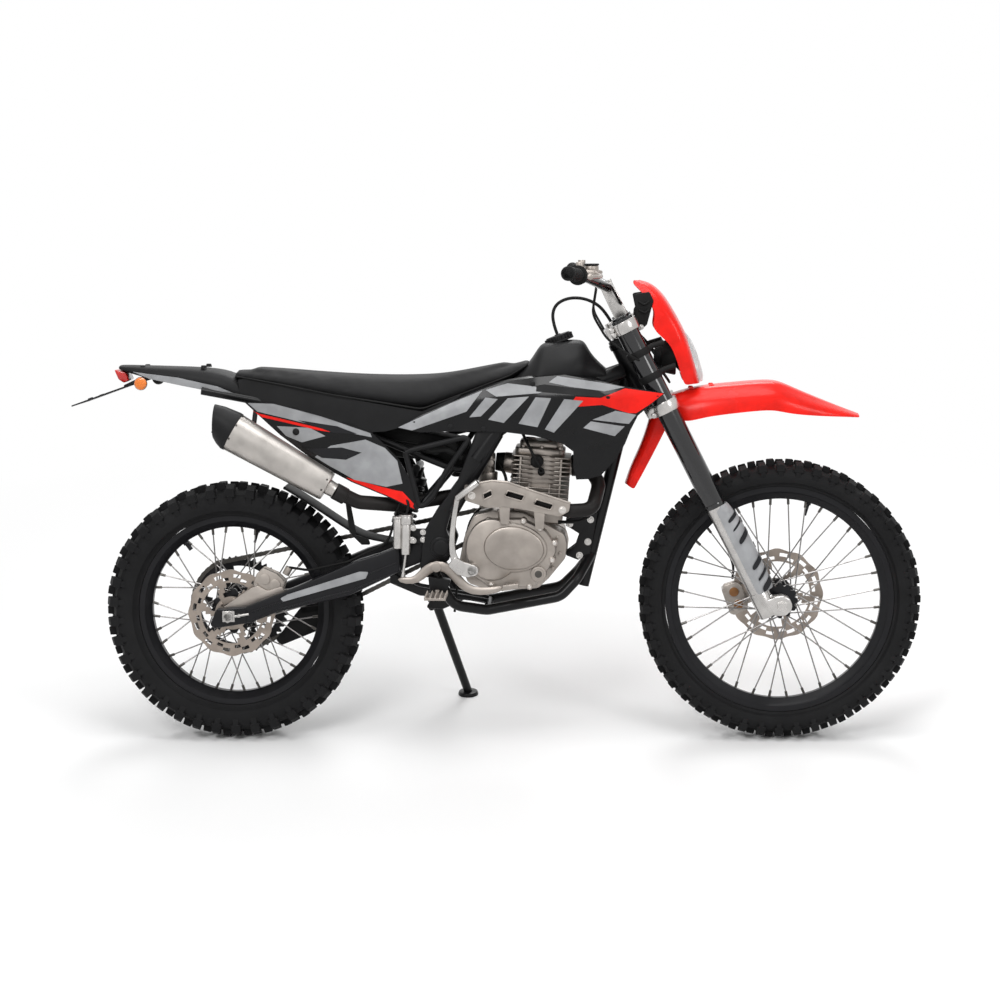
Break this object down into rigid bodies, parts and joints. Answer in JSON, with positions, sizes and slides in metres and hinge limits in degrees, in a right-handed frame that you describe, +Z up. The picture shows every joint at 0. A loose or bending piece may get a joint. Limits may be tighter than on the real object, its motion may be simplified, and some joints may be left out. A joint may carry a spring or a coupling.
{
  "type": "road-legal motocross motorcycle",
  "caption": "Off-road motorcycle with knobbly tyres, laced wheels, an upside-down fork, an air-cooled engine and a headlamp mask, parked on its side stand.",
  "frame": {"origin": "middle of the parked bike's bounding box, on the ground", "axes": "+X forward along the bike, +Y to the rider's left, the side it leans to, +Z up from the ground"},
  "size_m": [2.1058, 0.8055, 1.2376],
  "materials": {
    "frame_black": "satin black paint",
    "black_anodised": "black anodised aluminium",
    "cast_alloy": "bead-blasted cast aluminium",
    "bright_steel": "brushed steel",
    "disc_steel": "ground stainless steel",
    "tyre_rubber": "knobbly tyre rubber",
    "black_rubber": "moulded rubber",
    "red_plastic": "glossy red moulding",
    "black_gloss_plastic": "glossy black moulding",
    "black_plastic": "grained black moulding",
    "seat_cover": "grained black seat cover",
    "lamp_lens": "clear lamp lens",
    "lamp_red": "red lamp lens",
    "pipe_steel": "heat-resistant black paint",
    "chain_steel": "oiled roller chain"
  },
  "bodies": {
    "chassis": {"frame": "frame_black", "subframe": "frame_black", "engine": "cast_alloy", "clutch_cover": "cast_alloy", "generator_cover": "cast_alloy", "engine_guard": "cast_alloy", "exhaust_pipe": "pipe_steel", "muffler": "bright_steel", "intake": "black_plastic", "fuel_tank": "black_plastic", "tank_cap": "black_plastic", "vent_hose": "black_rubber", "seat": "seat_cover", "shrouds": "black_gloss_plastic", "side_panels": "black_gloss_plastic", "rear_fender": "black_plastic", "tail_lamps": "lamp_red", "plate_holder": "black_plastic", "swingarm": "black_anodised", "rear_axle": "bright_steel", "chain": "chain_steel", "chain_guide": "black_plastic", "rear_caliper": "cast_alloy", "rear_master_cylinder": "cast_alloy", "brake_pedal": "cast_alloy", "gear_lever": "bright_steel", "kick_lever": "bright_steel", "footpegs": "bright_steel", "rear_suspension": "bright_steel", "mud_flap": "black_rubber"},
    "front_end": {"fork_clamps": "cast_alloy", "fork_tubes": "black_anodised", "fork_lowers": "bright_steel", "front_axle": "bright_steel", "front_caliper": "cast_alloy", "handlebar": "black_anodised", "grips": "black_rubber", "hand_controls": "cast_alloy", "headlamp_mask": "red_plastic", "headlamp_lens": "lamp_lens", "front_fender": "red_plastic"},
    "front_wheel": {"front_tyre": "tyre_rubber", "front_rim": "black_anodised", "front_hub": "bright_steel", "front_disc": "disc_steel"},
    "rear_wheel": {"rear_tyre": "tyre_rubber", "rear_rim": "black_anodised", "rear_hub": "bright_steel", "rear_disc": "disc_steel", "rear_sprocket": "black_anodised"},
    "side_stand": {"side_stand": "frame_black"}
  },
  "joints": [
    {"name": "steering", "type": "hinge", "parent": "chassis", "child": "front_end", "pos_m": [0.64422, -0.13268, 0.32082], "axis": [-0.4462, 0.14, 0.8839], "range_deg": [-40, 40]},
    {"name": "front_wheel_spin", "type": "hinge", "parent": "front_end", "child": "front_wheel", "pos_m": [0.7015, -0.12822, 0.34902], "axis": [0, 0.9877, -0.1564], "continuous": true},
    {"name": "rear_wheel_spin", "type": "hinge", "parent": "chassis", "child": "rear_wheel", "pos_m": [-0.6685, -0.13216, 0.32413], "axis": [0, 0.9877, -0.1564], "continuous": true},
    {"name": "side_stand_fold", "type": "hinge", "parent": "chassis", "child": "side_stand", "pos_m": [-0.1735, 0.00443, 0.30435], "axis": [0.1672, 0.9186, 0.3581], "range_deg": [0, 113]}
  ]
}
